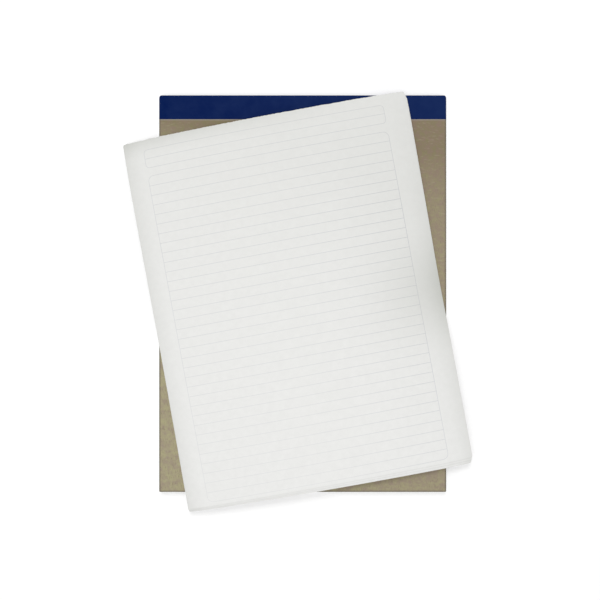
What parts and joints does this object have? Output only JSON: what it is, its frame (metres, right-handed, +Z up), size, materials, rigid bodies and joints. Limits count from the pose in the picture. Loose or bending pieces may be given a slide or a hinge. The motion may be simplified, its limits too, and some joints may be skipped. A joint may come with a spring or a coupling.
{
  "type": "legal pad",
  "caption": "Tape-bound ruled writing pad lying face down on its front, back board up, with a few of its own torn-off ruled sheets laid askew across the board.",
  "frame": {"origin": "middle of the flat face that the pad lies on, which is its front", "axes": "+Z up, away from the front and through the back board; +Y towards the bound head; +X to the right as seen from above with the head at the top"},
  "size_m": [0.2627, 0.3157, 0.0141],
  "materials": {
    "bound_paper": "matt, uncoated, pale blue-grey ruling",
    "loose_paper": "matt, uncoated, pale blue-grey ruling",
    "chipboard": "matt, fibrous grey-brown",
    "tape": "dark blue coated paper tape, slight sheen",
    "staple_wire": "bright wire"
  },
  "bodies": {
    "root": {"paper_block": "bound_paper", "backing_board": "chipboard", "binding_tape": "tape", "staple_1": "staple_wire", "staple_2": "staple_wire", "staple_3": "staple_wire", "bottom_sheet": "loose_paper", "middle_sheet": "loose_paper", "top_sheet": "loose_paper"}
  },
  "joints": []
}
